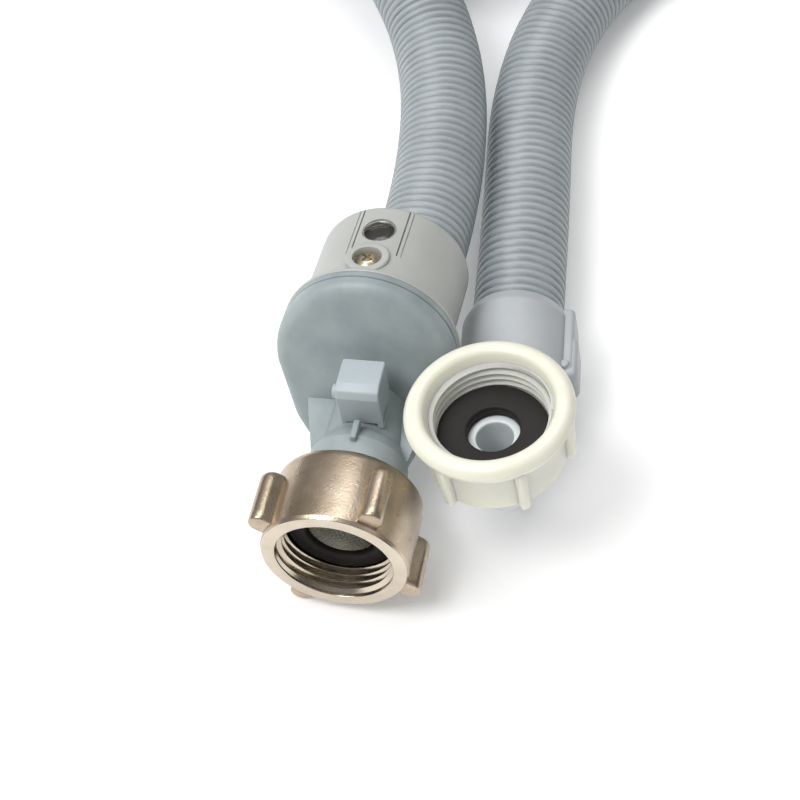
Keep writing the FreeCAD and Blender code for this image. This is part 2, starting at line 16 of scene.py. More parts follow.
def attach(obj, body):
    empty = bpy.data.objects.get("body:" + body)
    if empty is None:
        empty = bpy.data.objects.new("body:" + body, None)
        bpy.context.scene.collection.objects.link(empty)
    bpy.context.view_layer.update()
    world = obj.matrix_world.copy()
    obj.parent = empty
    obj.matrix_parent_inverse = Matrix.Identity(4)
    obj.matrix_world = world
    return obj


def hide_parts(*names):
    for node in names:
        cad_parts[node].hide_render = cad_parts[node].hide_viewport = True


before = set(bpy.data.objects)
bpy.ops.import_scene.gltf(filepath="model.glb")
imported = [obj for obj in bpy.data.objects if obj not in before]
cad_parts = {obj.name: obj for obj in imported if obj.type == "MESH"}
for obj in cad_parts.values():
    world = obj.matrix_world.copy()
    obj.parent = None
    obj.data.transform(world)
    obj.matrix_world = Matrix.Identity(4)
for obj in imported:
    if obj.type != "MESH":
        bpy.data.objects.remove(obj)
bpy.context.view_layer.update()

# %% [markdown]
# Five working frames save a lot of trigonometry. Each one puts +Y along the piece's own axis, so a turned
# piece can be drawn as if it stood alone. The tap end lies a little rolled over, and its casing points
# slightly downwards.

# %% Working frames
MM = 0.001


def turned(degrees, axis):
    """A turn about one axis, as a 4 by 4 matrix."""
    return Matrix.Rotation(math.radians(degrees), 4, axis)


def moved(x, y, z):
    """A shift given in millimetres, as a 4 by 4 matrix."""
    return Matrix.Translation((x * MM, y * MM, z * MM))


VALVE_ROLL, CASING_PITCH = -6.9, -7.7
ELBOW_HEADING, ELBOW_ROLL = 6.3, -8.9
OUTLET_HEIGHT = 32.7
nut_frame = moved(1.6, -40.3, 18.84)
valve_frame = nut_frame @ turned(VALVE_ROLL, "Y")
casing_frame = valve_frame @ moved(-1.0, 47.5, 13.0) @ turned(CASING_PITCH, "X")
elbow_frame = moved(34.4, -11.4, 13.2) @ turned(ELBOW_HEADING, "Z") @ turned(ELBOW_ROLL, "Y")
mouth_frame = elbow_frame @ moved(0, 0, OUTLET_HEIGHT) @ turned(-90, "X")
print("the white nut's mouth is at", [round(value, 4) for value in mouth_frame.translation])

# %% [markdown]
# The camera looks down at the tap end over the nut. The hose runs away from it and out of the view.

# %% Camera


def placed(name, data):
    """A new object that shows data, linked into the scene."""
    made = bpy.data.objects.new(name, data)
    bpy.context.scene.collection.objects.link(made)
    return made


CAMERA_HEADING, CAMERA_TILT, CAMERA_ROLL = 11.86, 37.71, -0.64
bpy.context.scene.view_settings.view_transform = "Standard"
camera_data = bpy.data.cameras.new("camera")
camera_data.lens = 87.75
camera_data.sensor_width = 36
camera_data.clip_start = 0.01
camera = placed("camera", camera_data)
camera_turn = turned(CAMERA_HEADING, "Z") @ turned(CAMERA_TILT, "X") @ turned(CAMERA_ROLL, "Z")
camera.matrix_world = moved(62.6, -259.7, 369.4) @ camera_turn
bpy.context.scene.camera = camera
print("camera:", camera_data.lens, "mm lens")

# %% [markdown]
# The hose is one smooth line from the casing's back to the elbow's cuff. A NURBS curve of order 3 is
# used, because a few control points give it long even bends, as a stiff sheath has. The rest of its
# length is stored as two flat turns. One lies on the other, and the hose climbs from the lower to the
# upper one between two angles. The route is in metres.

# %% The hose's route
VALVE_STRAND = [
    (0.0040, 0.0379, 0.0281),
    (0.0049, 0.0637, 0.0246),
    (-0.0020, 0.1122, 0.0222),
    (-0.0212, 0.1474, 0.0265),
    (-0.0495, 0.1750, 0.0320),
    (-0.0674, 0.1837, 0.0332),
]
OUTLET_STRAND = [
    (0.02891, 0.0383, 0.0132),
    (0.02563, 0.0714, 0.0120),
    (0.0195, 0.1199, 0.0110),
    (0.0251, 0.1572, 0.0110),
    (0.0428, 0.1907, 0.0110),
    (0.0564, 0.2039, 0.0110),
]
COIL_MIDDLE = Vector((-0.0199, 0.2818, 0))
COIL_RADIUS = 0.109
LOW_TURN, HIGH_TURN = 0.0110, 0.0332
CLIMB_START, CLIMB_END = 244.2, 314.4
FIRST_ANGLE, LAST_ANGLE = 604.2, -45.6
CLIMB_REST, CLIMB_PART = 0.05, 0.9
POINTS_PER_TURN = 24


def turn_height(angle):
    """Height of the hose's middle line over the floor at a place along the stored turns."""
    share = (angle - CLIMB_START) / (CLIMB_END - CLIMB_START)
    share = min(1, max(0, (share - CLIMB_REST) / CLIMB_PART))
    eased = share**3 * (share * (6 * share - 15) + 10)
    return LOW_TURN + (HIGH_TURN - LOW_TURN) * eased


route = [Vector(point) for point in VALVE_STRAND]
turn_points = round(POINTS_PER_TURN * (FIRST_ANGLE - LAST_ANGLE) / 360)
for step in range(1, turn_points):
    angle = FIRST_ANGLE + (LAST_ANGLE - FIRST_ANGLE) * step / turn_points
    around = Vector((math.cos(math.radians(angle)), math.sin(math.radians(angle)), 0))
    route.append(COIL_MIDDLE + COIL_RADIUS * around + Vector((0, 0, turn_height(angle))))
route += [Vector(point) for point in reversed(OUTLET_STRAND)]

curve = bpy.data.curves.new("hose_route", "CURVE")
curve.dimensions = "3D"
curve.resolution_u = 24
spline = curve.splines.new("NURBS")
spline.points.add(len(route) - 1)
for control, spot in zip(spline.points, route):
    control.co = (*spot, 1)
spline.order_u = 3
spline.use_endpoint_u = True
route_object = placed("hose_route", curve)
bpy.context.view_layer.update()
line_mesh = bpy.data.meshes.new_from_object(route_object)
line = [vertex.co.copy() for vertex in line_mesh.vertices]
bpy.data.objects.remove(route_object)
bpy.data.meshes.remove(line_mesh)
hose_length = sum((b - a).length for a, b in zip(line, line[1:]))
print("hose length along its middle:", round(hose_length, 3), "m")

# %% [markdown]
# ## Finishes
# A moulded plastic is never one flat colour. Its tone drifts slowly over the part, and its skin has a
# fine grain from the tool. Both come from noise, so one node group serves every finish here, with its own
# tones and grain each time. A finer cloud of noise breaks up the drift and the gloss.

# %% Node group: moulded skin


def new_group(name, inputs, outputs):
    """A shader node group. Inputs are (name, kind, start value), and outputs are (name, kind)."""
    group = bpy.data.node_groups.new(name, "ShaderNodeTree")
    for label, kind, value in inputs:
        socket = group.interface.new_socket(label, in_out="INPUT", socket_type="NodeSocket" + kind)
        socket.default_value = value
    for label, kind in outputs:
        group.interface.new_socket(label, in_out="OUTPUT", socket_type="NodeSocket" + kind)
    way_in = group.nodes.new("NodeGroupInput")
    way_out = group.nodes.new("NodeGroupOutput")
    return group, way_in.outputs, way_out.inputs


def add(tree, kind, **settings):
    """A node with its settings. A name with _ before it is a socket, and its value is set there."""
    node = tree.nodes.new("ShaderNode" + kind)
    for name, value in settings.items():
        if name.startswith("_"):
            node.inputs[name[1:].replace("_", " ")].default_value = value
        else:
            setattr(node, name, value)
    return node


skin, given, result = new_group(
    "moulded_skin",
    [
        ("Light Tone", "Color", (0.5, 0.5, 0.5, 1)),
        ("Deep Tone", "Color", (0.4, 0.4, 0.4, 1)),
        ("Roughness", "Float", 0.4),
        ("Drift Size", "Float", 60.0),
        ("Grain Size", "Float", 2500.0),
    ],
    [("Color", "Color"), ("Roughness", "Float"), ("Height", "Float")],
)
CLOUD_IN_TONE, CLOUD_MIDDLE, CLOUD_IN_GLOSS = 0.35, 0.17, 0.16
place = add(skin, "TexCoord")
drift = add(skin, "TexNoise", _Detail=3.0, _Roughness=0.55)
grain = add(skin, "TexNoise", _Detail=2.0, _Roughness=0.6)
cloud = add(skin, "TexNoise", _Scale=420.0, _Detail=4.0, _Roughness=0.65)
tones = add(skin, "Mix", data_type="RGBA")
spread = add(skin, "MapRange", _From_Min=0.3, _From_Max=0.7)
speckle = add(skin, "Math", operation="MULTIPLY_ADD")
speckle.inputs[1].default_value = CLOUD_IN_TONE
blended = add(skin, "Math", operation="ADD")
blended.inputs[1].default_value = -CLOUD_MIDDLE
gloss = add(skin, "Math", operation="MULTIPLY_ADD")
gloss.inputs[1].default_value = CLOUD_IN_GLOSS
for texture in (drift, grain, cloud):
    skin.links.new(place.outputs["Object"], texture.inputs["Vector"])
skin.links.new(given["Drift Size"], drift.inputs["Scale"])
skin.links.new(given["Grain Size"], grain.inputs["Scale"])
skin.links.new(drift.outputs["Fac"], spread.inputs["Value"])
skin.links.new(cloud.outputs["Fac"], speckle.inputs[0])
skin.links.new(spread.outputs["Result"], speckle.inputs[2])
skin.links.new(speckle.outputs[0], blended.inputs[0])
skin.links.new(blended.outputs[0], tones.inputs["Factor"])
skin.links.new(given["Light Tone"], tones.inputs["A"])
skin.links.new(given["Deep Tone"], tones.inputs["B"])
skin.links.new(tones.outputs["Result"], result["Color"])
skin.links.new(cloud.outputs["Fac"], gloss.inputs[0])
skin.links.new(given["Roughness"], gloss.inputs[2])
skin.links.new(gloss.outputs[0], result["Roughness"])
skin.links.new(grain.outputs["Fac"], result["Height"])
print("moulded_skin has", len(skin.nodes), "nodes")

# %% [markdown]
# Ambient occlusion finds the corners. A second group turns it into a mask, broken up by patches of noise,
# that darkens any finish there: painted shade in corners, creases and grooves.

# %% Node group: painted shade in corners
corner_shade, given, result = new_group(
    "corner_painted_shade",
    [
        ("Color", "Color", (0.5, 0.5, 0.5, 1)),
        ("Shade Color", "Color", (0.1, 0.1, 0.1, 1)),
        ("Amount", "Float", 0.5),
    ],
    [("Color", "Color")],
)
place = add(corner_shade, "TexCoord")
patches = add(corner_shade, "TexNoise", _Scale=260.0, _Detail=5.0)
corner_shade.links.new(place.outputs["Object"], patches.inputs["Vector"])
# Painted shade: the occlusion mask darkens the colour in corners, creases and grooves.
corners = add(corner_shade, "AmbientOcclusion", samples=8, _Distance=0.0022)
hollow = add(corner_shade, "MapRange", _From_Min=0.35, _From_Max=0.95, _To_Min=1.0, _To_Max=0.0)
broken = add(corner_shade, "Math", operation="MULTIPLY")
strength = add(corner_shade, "Math", operation="MULTIPLY")
shaded = add(corner_shade, "Mix", data_type="RGBA")
corner_shade.links.new(corners.outputs["AO"], hollow.inputs["Value"])
corner_shade.links.new(hollow.outputs["Result"], broken.inputs[0])
corner_shade.links.new(patches.outputs["Fac"], broken.inputs[1])
corner_shade.links.new(broken.outputs[0], strength.inputs[0])
corner_shade.links.new(given["Amount"], strength.inputs[1])
corner_shade.links.new(strength.outputs[0], shaded.inputs["Factor"])
corner_shade.links.new(given["Color"], shaded.inputs["A"])
corner_shade.links.new(given["Shade Color"], shaded.inputs["B"])
corner_shade.links.new(shaded.outputs["Result"], result["Color"])
print("corner_painted_shade has", len(corner_shade.nodes), "nodes")

# %% [markdown]
# Every plastic and every metal here has the same moulded or cast skin, so one helper joins the skin group
# to a new material's shader. A plastic then takes its colour through the painted shade group, which darkens
# it in corners. Settings that are the same all over a piece, such as how far light goes into the nylon of
# the white nut, go straight onto the shader.

# %% Plastic finishes


def bare_material(name):
    """A new material with its node tree and its shader."""
    material = bpy.data.materials.new(name)
    material.use_nodes = True
    return material, material.node_tree, material.node_tree.nodes["Principled BSDF"]


def cover_with_skin(tree, shader, light, deep, roughness, drift_size, grain_size, bump):
    """Puts the skin group on a shader's roughness and normal, and returns the group's node."""
    look = add(tree, "Group", node_tree=skin, _Roughness=roughness)
    look.inputs["Drift Size"].default_value = drift_size
    look.inputs["Grain Size"].default_value = grain_size
    look.inputs["Light Tone"].default_value = (*light, 1)
    look.inputs["Deep Tone"].default_value = (*deep, 1)
    tree.links.new(look.outputs["Roughness"], shader.inputs["Roughness"])
    tree.links.new(look.outputs["Height"], bump.inputs["Height"])
    tree.links.new(bump.outputs["Normal"], shader.inputs["Normal"])
    return look


# How dark the painted shade in corners goes, as a share of the deep tone.
PAINTED_SHADE_DARKNESS = 0.35


def plastic(
    name,
    light,
    deep,
    roughness,
    drift_size=60,
    grain_size=2500,
    grain_depth=0.00002,
    painted_shade_amount=0.5,
    **fixed,
):
    """A moulded plastic, with painted shade in its corners. Fixed settings go straight onto the shader's own
    sockets.
    """
    material, tree, shader = bare_material(name)
    bump = add(tree, "Bump", _Strength=0.6, _Distance=grain_depth)
    lowest = roughness - CLOUD_IN_GLOSS / 2
    look = cover_with_skin(tree, shader, light, deep, lowest, drift_size, grain_size, bump)
    # Painted shade: corners and grooves are darkened towards a darker copy of the deep tone.
    shade_mix = add(tree, "Group", node_tree=corner_shade, _Amount=painted_shade_amount)
    shade_mix.inputs["Shade Color"].default_value = (*[channel * PAINTED_SHADE_DARKNESS for channel in deep], 1)
    tree.links.new(look.outputs["Color"], shade_mix.inputs["Color"])
    tree.links.new(shade_mix.outputs["Color"], shader.inputs["Base Color"])
    for socket, value in fixed.items():
        shader.inputs[socket.replace("_", " ")].default_value = value
    return material


cover_grey = plastic("cover_grey", (0.345, 0.393, 0.400), (0.245, 0.290, 0.300), 0.46, drift_size=95)
casing_grey = plastic("casing_grey", (0.475, 0.485, 0.462), (0.415, 0.426, 0.405), 0.44)
lever_grey = plastic("lever_grey", (0.440, 0.495, 0.520), (0.385, 0.440, 0.465), 0.42)
cuff_grey = plastic("cuff_grey", (0.450, 0.472, 0.486), (0.395, 0.418, 0.434), 0.42)
# The sheath's grooves get a strong painted shade.
sheath_grey = plastic("sheath_grey", (0.375, 0.412, 0.430), (0.320, 0.356, 0.374), 0.40, painted_shade_amount=1.4)
elbow_grey = plastic("elbow_grey", (0.70, 0.74, 0.75), (0.63, 0.67, 0.68), 0.35, painted_shade_amount=0.2)
tray_brown = plastic(
    "tray_brown", (0.80, 0.66, 0.62), (0.28, 0.22, 0.20), 0.3, drift_size=600, painted_shade_amount=0.1
)
inner_white = plastic("inner_white", (0.72, 0.72, 0.69), (0.66, 0.66, 0.63), 0.42)
nut_white = plastic(
    "nut_white",
    (0.82, 0.81, 0.71),
    (0.76, 0.75, 0.64),
    0.34,
    painted_shade_amount=0.15,
    Subsurface_Weight=0.45,
    Subsurface_Radius=(0.004, 0.0035, 0.0022),
    Subsurface_Scale=1.0,
)
washer_black = plastic(
    "washer_black",
    (0.020, 0.0175, 0.0155),
    (0.013, 0.011, 0.010),
    0.6,
    grain_size=1800,
    painted_shade_amount=0.2,
    Specular_IOR_Level=0.28,
)
inner_dark = plastic("inner_dark", (0.040, 0.040, 0.042), (0.028, 0.028, 0.030), 0.5)
hose_black = plastic("hose_black", (0.035, 0.035, 0.037), (0.022, 0.022, 0.024), 0.5, painted_shade_amount=0.2)
flag_red = plastic("flag_red", (0.55, 0.03, 0.02), (0.48, 0.02, 0.015), 0.4)
tablet_cream = plastic("tablet_cream", (0.78, 0.75, 0.66), (0.70, 0.67, 0.58), 0.8, grain_depth=0.00005)
print("materials with the plastic finishes:", len(bpy.data.materials))

# %% [markdown]
# The nut is brass with bright nickel over it. It was cast, so its skin keeps a fine sand texture under
# the plate, and its front face was machined afterwards. A metal's colour is all reflection, so roughness
# matters more than colour. The window is a clear plastic with a little smoke in it, and the shader's
# transmission makes it see-through.

# %% Metal and clear finishes
METAL_DRIFT, METAL_GLOSS_SHIFT = 110, 0.07


def metal(name, light, deep, roughness, pit_size=1500, pit_depth=0.00003):
    """A cast or turned metal. Its pits are the grain of the skin group."""
    material, tree, shader = bare_material(name)
    shader.inputs["Metallic"].default_value = 1
    bump = add(tree, "Bump", _Strength=0.7, _Distance=pit_depth)
    lowest = roughness - METAL_GLOSS_SHIFT
    look = cover_with_skin(tree, shader, light, deep, lowest, METAL_DRIFT, pit_size, bump)
    tree.links.new(look.outputs["Color"], shader.inputs["Base Color"])
    return material


cast_nickel = metal(
    "cast_nickel", (0.58, 0.48, 0.375), (0.39, 0.31, 0.225), 0.28, pit_size=1900, pit_depth=0.00008
)
turned_nickel = metal("turned_nickel", (0.66, 0.585, 0.49), (0.55, 0.48, 0.39), 0.18, pit_depth=0.000012)
stainless = metal("stainless", (0.60, 0.59, 0.56), (0.50, 0.49, 0.46), 0.28, pit_depth=0.000006)
wire_steel = metal("wire_steel", (0.42, 0.41, 0.35), (0.28, 0.27, 0.22), 0.34, pit_depth=0.000004)
zinc_yellow = metal("zinc_yellow", (0.70, 0.62, 0.47), (0.58, 0.50, 0.36), 0.22, pit_depth=0.00001)

smoky_lens, _, lens_shader = bare_material("smoky_lens")
lens_shader.inputs["Base Color"].default_value = (0.92, 0.89, 0.86, 1)
lens_shader.inputs["Transmission Weight"].default_value = 1.0
lens_shader.inputs["Roughness"].default_value = 0.06
lens_shader.inputs["IOR"].default_value = 1.49
print("materials with the metals and the lens:", len(bpy.data.materials))

# %% [markdown]
# ## Shaping helpers
# Most of the pieces are either turned about an axis or lofted along one. Both are rows of points joined
# by faces, so a single helper makes the faces. Corners are rounded in the drawing, before the piece is
# made, which gives clean rounded edges with no bevel tool.

# %% Shaping helpers
NEAR_HALF = 0.49
WELD = 0.0005
SHARP_FROM = 32


def rounded(corners, steps=5):
    """A 2-D outline from (x, y, rounding) corners. A corner becomes an arc, as large as its sides allow."""
    outline = []
    for index, (x, y, rounding) in enumerate(corners):
        here = Vector((x, y))
        if rounding == 0:
            outline.append(here)
            continue
        back = Vector(corners[index - 1][:2]) - here
        on = Vector(corners[(index + 1) % len(corners)][:2]) - here
        half = back.angle(on) / 2
        reach = min(rounding / math.tan(half), NEAR_HALF * back.length, NEAR_HALF * on.length)
        middle = here + (back.normalized() + on.normalized()).normalized() * (reach / math.cos(half))
        first = here + back.normalized() * reach - middle
        last = here + on.normalized() * reach - middle
        begin = math.atan2(first.y, first.x)
        sweep = (math.atan2(last.y, last.x) - begin + math.pi) % math.tau - math.pi
        for step in range(steps + 1):
            angle = begin + sweep * step / steps
            outline.append(middle + first.length * Vector((math.cos(angle), math.sin(angle))))
    return outline


def skinned(rows, closed=True):
    """A mesh from rows of points that each go round. closed joins the last row to the first.

    Otherwise the first row and the last one are filled with a face.
    """
    shape = bmesh.new()
    made = [[shape.verts.new(point) for point in row] for row in rows]
    count = len(rows[0])
    pairs = list(zip(made, made[1:])) + ([(made[-1], made[0])] if closed else [])
    for one, other in pairs:
        for index in range(count):
            following = (index + 1) % count
            shape.faces.new((one[index], one[following], other[following], other[index]))
    if not closed:
        shape.faces.new(made[0])
        shape.faces.new(list(reversed(made[-1])))
    bmesh.ops.remove_doubles(shape, verts=shape.verts, dist=WELD)
    bmesh.ops.recalc_face_normals(shape, faces=shape.faces)
    return shape


def lathe(corners, segments=144, steps=5):
    """Turns a closed profile of (radius, distance along Y, rounding) about the Y axis."""
    profile = rounded(corners, steps)
    rows = []
    for step in range(segments):
        angle = math.tau * step / segments
        rows.append([(r * math.cos(angle), y, r * math.sin(angle)) for r, y in profile])
    return skinned(rows)


def brick(low, high, rounding):
    """A block from one corner to the opposite one, with rounded edges."""
    shape = bmesh.new()
    bmesh.ops.create_cube(shape, size=1)
    low, high = Vector(low), Vector(high)
    bmesh.ops.scale(shape, vec=high - low, verts=shape.verts)
    bmesh.ops.translate(shape, vec=(low + high) / 2, verts=shape.verts)
    if rounding:
        edges = shape.edges[:]
        bmesh.ops.bevel(
            shape, geom=edges, offset=rounding, segments=4, profile=0.5, affect="EDGES", clamp_overlap=True
        )
    bmesh.ops.recalc_face_normals(shape, faces=shape.faces)
    return shape


def merged(*shapes):
    """Several closed shapes as one mesh."""
    holder = bpy.data.meshes.new("holder")
    whole = bmesh.new()
    for shape in shapes:
        shape.to_mesh(holder)
        shape.free()
        whole.from_mesh(holder)
    bpy.data.meshes.remove(holder)
    return whole


def in_place(shape, place, name="cutter"):
    """An object from a shape drawn in millimetres, in its place. Without a name it is a cutter for carve."""
    bmesh.ops.transform(shape, matrix=place @ Matrix.Scale(MM, 4), verts=shape.verts)
    mesh = bpy.data.meshes.new(name)
    shape.to_mesh(mesh)
    shape.free()
    return placed(name, mesh)


def smooth(mesh, sharp):
    """Shades a mesh smooth, except at edges that are sharper than an angle in degrees."""
    mesh.polygons.foreach_set("use_smooth", [True] * len(mesh.polygons))
    mesh.set_sharp_from_angle(angle=math.radians(sharp))


def piece(name, shape, place, finish, body="hose_set", stands_for=(), sharp=SHARP_FROM):
    """Puts a shape drawn in millimetres into its place and hands it to the frame."""
    made = in_place(shape, place, name)
    smooth(made.data, sharp)
    made.data.materials.append(finish)
    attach(made, body)
    if stands_for:
        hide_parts(*stands_for)
    print(name, "has", len(made.data.polygons), "faces")
    return made


def carve(target, *cutters):
    """Cuts closed shapes out of a finished piece. The cutters are removed afterwards."""
    for cutter in cutters:
        cut = target.modifiers.new("cut", "BOOLEAN")
        cut.operation = "DIFFERENCE"
        cut.solver = "EXACT"
        cut.object = cutter
    bpy.context.view_layer.update()
    view = bpy.context.evaluated_depsgraph_get()
    carved = bpy.data.meshes.new_from_object(target.evaluated_get(view))
    target.modifiers.clear()
    old = target.data
    target.data = carved
    smooth(carved, SHARP_FROM)
    bpy.data.meshes.remove(old)
    for cutter in cutters:
        bpy.data.objects.remove(cutter)


def upright(at, radius, low, high, segments=64):
    """A plain cylinder standing along Z at (x, y)."""
    shape = bmesh.new()
    bmesh.ops.create_cone(
        shape,
        cap_ends=True,
        segments=segments,
        radius1=radius,
        radius2=radius,
        depth=high - low,
        matrix=Matrix.Translation((at[0], at[1], (low + high) / 2)),
    )
    return shape


THREAD_PITCH = 1.814
FADE_TURNS = 0.35
SUNK, RIDGE_FOOT, TIP_ROUND = 0.4, 0.46, 0.14


def thread(root, crest, start, end, per_turn=72, flank=0.26):
    """An internal screw thread: a ridge that climbs the wall and fades in and out at its ends.

    The ridge is sunk a little into the wall. Its section goes along the thread in shares of the pitch.
    """
    turns = (end - start) / THREAD_PITCH
    total = int(turns * per_turn)
    rows = []
    for step in range(total + 1):
        share = step / total
        fade = min(1, share * turns / FADE_TURNS, (1 - share) * turns / FADE_TURNS)
        angle = math.tau * turns * share
        along = start + (end - start) * share
        tip = root - (root - crest) * fade
        half_tip = 0.5 - flank - TIP_ROUND
        section = [
            (root + SUNK, -RIDGE_FOOT),
            (root, -RIDGE_FOOT),
            (tip, -half_tip),
            (tip, half_tip),
            (root, RIDGE_FOOT),
            (root + SUNK, RIDGE_FOOT),
        ]
        across, up = math.cos(angle), math.sin(angle)
        rows.append([(radius * across, along + THREAD_PITCH * y, radius * up) for radius, y in section])
    return skinned(rows, closed=False)


# %% [markdown]
# ## The tap nut
# A cast brass nut has soft corners on its rough outside and crisp ones where the tool cut: its face and
# its thread. Those two are a second piece, with the brighter finish. Four half-round lobes give fingers a
# grip. The back shoulder is well rounded.

# %% Tap nut
nut_body = lathe(
    [
        (13.05, 0.0, 0.25),
        (15.9, 0.0, 0.35),
        (16.35, 0.9, 0.3),
        (16.35, 18.2, 2.7),
        (13.6, 19.75, 1.8),
        (9.55, 19.75, 0.3),
        (9.55, 16.9, 0.1),
        (13.3, 16.9, 0.3),
        (13.3, 9.0, 0.2),
        (13.05, 8.6, 0.2),
    ],
    segments=192,
)
LOBE_RADIUS, LOBE_CENTRE, LOBE_FOOT = 2.5, 18.2, 14.2
LOBE_FRONT, LOBE_BACK = 1.2, 14.9
FIRST_LOBE = 63.5
THREAD_START = -140


def grip_lobe():
    """A half-round rib along Y at +Z. Its back end is rounded like an arch, and its front is cut flat."""
    full = LOBE_FRONT + 0.4
    arch = LOBE_BACK - LOBE_RADIUS
    stations = [(LOBE_FRONT, 0.86), (LOBE_FRONT + 0.12, 0.95), (full, 1.0)]
    stations += [(full + (arch - full) * step / 6, 1.0) for step in range(1, 7)]
    for step in range(1, 9):
        angle = math.radians(90 * step / 8)
        stations.append((arch + LOBE_RADIUS * math.sin(angle), max(0.02, math.cos(angle))))
    rows = []
    for along, fullness in stations:
        half = LOBE_RADIUS * fullness
        rise = LOBE_RADIUS * 0.95 * (0.35 + 0.65 * fullness)
        base = LOBE_CENTRE - 1.6 * (1 - fullness)
        arc = [math.pi * step / 16 for step in range(17)]
        crown = [(half * math.cos(angle), along, base + rise * math.sin(angle)) for angle in arc]
        rows.append([(half, along, LOBE_FOOT), *crown, (-half, along, LOBE_FOOT)])
    return skinned(rows, closed=False)


def transformed(shape, matrix):
    """The same shape, turned or shifted."""
    bmesh.ops.transform(shape, matrix=matrix, verts=shape.verts)
    return shape


lobes = [transformed(grip_lobe(), turned(90 - (FIRST_LOBE + 90 * quarter), "Y")) for quarter in range(4)]
piece(
    "tap_nut",
    merged(nut_body, *lobes),
    nut_frame,
    cast_nickel,
    body="inlet_coupling",
    stands_for=["inlet_nut"],
    sharp=38,
)
face_ring = lathe(
    [(13.02, -0.02, 0.2), (15.95, -0.02, 0.25), (16.1, 0.5, 0.1), (13.02, 0.5, 0.1)], segments=192
)
tap_thread = transformed(thread(13.07, 12.08, 0.95, 8.4), turned(THREAD_START, "Y"))
piece(
    "tap_nut_thread",
    merged(tap_thread, face_ring),
    nut_frame,
    turned_nickel,
    body="inlet_coupling",
    sharp=25,
)

# %% [markdown]
# Inside the nut sit a rubber washer and a filter. The filter is a real weave of fine wire: each wire dips
# under and over its neighbours. It bulges towards the tap. Making the weave from wires costs few faces at
# this size and reads well from close by.

# %% Filter and washer
WIRE_RADIUS, WIRE_PITCH, WIRE_WAVE = 0.15, 0.72, 0.15
SCREEN_RADIUS, SCREEN_EDGE, SCREEN_BULGE = 8.0, 9.1, 3.1
WEAVE_TURN = 24


def wire(points):
    """A fine square-section wire along points, in the XZ plane with Y as height."""
    rows = []
    for index, point in enumerate(points):
        ahead = points[min(index + 1, len(points) - 1)] - points[max(index - 1, 0)]
        side = ahead.cross(Vector((0, 1, 0))).normalized() * WIRE_RADIUS
        lift = Vector((0, WIRE_RADIUS, 0))
        rows.append([point + side, point + lift, point - side, point - lift])
    return skinned(rows, closed=False)


wires = []
reach = int(SCREEN_RADIUS / WIRE_PITCH)
for across in (False, True):
    for index in range(-reach, reach + 1):
        offset = index * WIRE_PITCH
        half = math.sqrt(max(0, SCREEN_RADIUS**2 - offset**2))
        steps = int(half / WIRE_PITCH)
        points = []
        for crossing in range(-steps * 2, steps * 2 + 1):
            along = crossing * WIRE_PITCH / 2
            wave = WIRE_WAVE * math.cos(math.pi * (crossing / 2 + index + (1 if across else 0)))
            bulge = SCREEN_BULGE * (1 - (along**2 + offset**2) / SCREEN_RADIUS**2)
            height = SCREEN_EDGE + wave - bulge
            points.append(Vector((offset, height, along) if across else (along, height, offset)))
        if len(points) > 2:
            wires.append(wire(points))
screen = transformed(merged(*wires), turned(WEAVE_TURN, "Y"))
piece("filter_weave", screen, nut_frame, wire_steel, stands_for=["filter_screen"])
rim = lathe([(7.0, 9.96, 0.2), (8.1, 9.96, 0.2), (8.1, 13.4, 0.1), (7.0, 13.4, 0.1)])
piece("filter_ring", rim, nut_frame, inner_white, stands_for=["filter_rim"])
washer = lathe([(7.95, 7.1, 0.9), (11.75, 7.1, 0.35), (11.75, 9.95, 0.3), (7.95, 9.95, 0.3)])
piece("tap_washer", washer, nut_frame, washer_black, stands_for=["inlet_washer"])

# %% [markdown]
# ## The leak-stop valve
# The casing's outline is an egg: a round top, and sides that draw in to a small flat foot. It is drawn
# once and then sampled by angle, so that the same points can run from the egg into the round drum behind
# it.

# %% The egg outline
EGG_SIDES_AND_FOOT = [
    (-20.1, -2.6, 0),
    (-17.4, -15.5, 6),
    (-15.0, -20.5, 3.5),
    (-9.5, -24.4, 3.0),
    (9.5, -24.4, 3.0),
    (15.0, -20.5, 3.5),
    (17.4, -15.5, 8.0),
    (20.1, -2.6, 0),
]
COVER_RADIUS, DRUM_RADIUS, WALL = 20.3, 17.5, 2.2
CROWN_START, CROWN_SWEEP, CROWN_STEPS = -4, 188, 94
AROUND = 216
crown = []
for step in range(CROWN_STEPS + 1):
    angle = math.radians(CROWN_START + CROWN_SWEEP * step / CROWN_STEPS)
    crown.append(Vector((COVER_RADIUS * math.cos(angle), COVER_RADIUS * math.sin(angle))))
egg_outline = crown + rounded(EGG_SIDES_AND_FOOT)[1:-1]


def egg_radius(angle):
    """Distance from the middle to the egg's edge in one direction."""
    ray = Vector((math.cos(angle), math.sin(angle)))
    best = COVER_RADIUS
    for a, b in zip(egg_outline, egg_outline[1:] + egg_outline[:1]):
        edge = b - a
        slope = ray.x * edge.y - ray.y * edge.x
        if abs(slope) < 1e-9:
            continue
        along = (a.x * edge.y - a.y * edge.x) / slope
        share = (a.x * ray.y - a.y * ray.x) / slope
        if along > 0 and -1e-6 <= share <= 1 + 1e-6:
            best = along
    return best


ANGLES = [math.tau * step / AROUND for step in range(AROUND)]
EGG_RADII = [egg_radius(angle) for angle in ANGLES]
EGG_NORMALS = []
for index, angle in enumerate(ANGLES):
    here, there = EGG_RADII[index - 1], EGG_RADII[(index + 1) % AROUND]
    before, after = ANGLES[index - 1], ANGLES[(index + 1) % AROUND]
    x = there * math.cos(after) - here * math.cos(before)
    y = there * math.sin(after) - here * math.sin(before)
    EGG_NORMALS.append(Vector((y, -x)).normalized())
print("egg: widest", round(2 * max(EGG_RADII), 1), "mm across")


